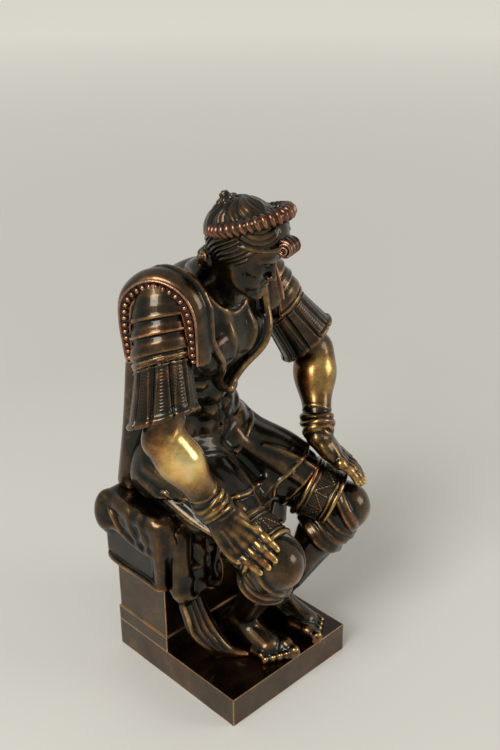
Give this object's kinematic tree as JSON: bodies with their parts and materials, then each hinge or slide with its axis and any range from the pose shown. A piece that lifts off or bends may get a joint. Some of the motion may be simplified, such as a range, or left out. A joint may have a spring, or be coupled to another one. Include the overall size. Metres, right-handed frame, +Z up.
{
  "type": "seated bronze statuette",
  "caption": "Bronze figure in antique parade dress, seated on a draped block on a low square base, with its hands on its knees; a desk or mantel ornament.",
  "frame": {"origin": "middle of the statuette's outline, on the surface it stands on", "axes": "+Z up, +X towards the figure's left, +Y towards the back of the seat, so the figure faces -Y"},
  "size_m": [0.1082, 0.083, 0.2033],
  "materials": {
    "cast_bronze": "very dark brown patina, waxed, gold where it is worn",
    "golden_bronze": "dark brown patina worn to golden bronze on the high places",
    "russet_bronze": "red-brown patina, waxed",
    "plain_bronze": "brown patina, half gloss, bright on the edges",
    "brass_fixings": "bare turned brass"
  },
  "bodies": {
    "root": {"base_plate": "plain_bronze", "seat_block": "plain_bronze", "seat_cloth": "cast_bronze", "cloak_tail": "cast_bronze", "lap": "cast_bronze", "right_leg": "cast_bronze", "left_leg": "cast_bronze", "torso": "cast_bronze", "right_arm": "golden_bronze", "left_arm": "golden_bronze", "right_shoulder_guard": "cast_bronze", "left_shoulder_guard": "cast_bronze", "right_sleeve_straps": "cast_bronze", "left_sleeve_straps": "cast_bronze", "head": "cast_bronze", "helmet": "russet_bronze", "helmet_finial": "russet_bronze", "back_cloak": "cast_bronze", "tie_rod": "brass_fixings", "tie_rod_washer": "brass_fixings", "tie_rod_nut": "brass_fixings", "seat_screw_1": "brass_fixings", "seat_screw_2": "brass_fixings", "seat_screw_3": "brass_fixings", "seat_screw_4": "brass_fixings", "right_foot_screw": "brass_fixings", "left_foot_screw": "brass_fixings", "cloak_tail_screw": "brass_fixings", "neck_pin": "brass_fixings", "right_shoulder_pin": "brass_fixings", "left_shoulder_pin": "brass_fixings", "right_knee_pin": "brass_fixings", "left_knee_pin": "brass_fixings", "right_strap_rivet": "brass_fixings", "left_strap_rivet": "brass_fixings", "right_cloak_rivet": "brass_fixings", "left_cloak_rivet": "brass_fixings"}
  },
  "joints": []
}
